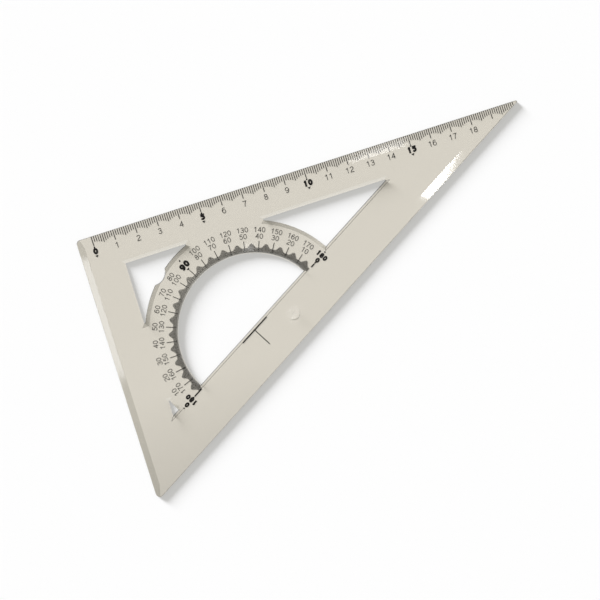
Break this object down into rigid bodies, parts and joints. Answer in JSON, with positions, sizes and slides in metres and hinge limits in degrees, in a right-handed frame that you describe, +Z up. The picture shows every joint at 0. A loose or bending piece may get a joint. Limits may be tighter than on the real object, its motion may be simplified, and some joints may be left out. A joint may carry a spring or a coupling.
{
  "type": "set square",
  "caption": "Clear right-angled drawing triangle with bevelled edges, a ruled long leg and a built-in protractor ring between open windows.",
  "frame": {"origin": "middle of the bounding box, on the flat printed underside that lies on the paper", "axes": "+X along the ruled long leg towards the sharp tip, +Y square to it from the far corner to the ruled leg, +Z up out of the face that is read"},
  "size_m": [0.2102, 0.1208, 0.0022],
  "materials": {
    "clear_plastic": "clear polished moulding",
    "scale_ink": "dull black ink filled into fine grooves"
  },
  "bodies": {
    "root": {"plate": "clear_plastic", "millimetre_lines": "scale_ink", "half_centimetre_lines": "scale_ink", "centimetre_lines": "scale_ink", "ruler_markers": "scale_ink", "half_degree_lines": "scale_ink", "degree_lines": "scale_ink", "ten_degree_lines": "scale_ink", "base_line": "scale_ink", "angle_markers": "scale_ink"}
  },
  "joints": []
}
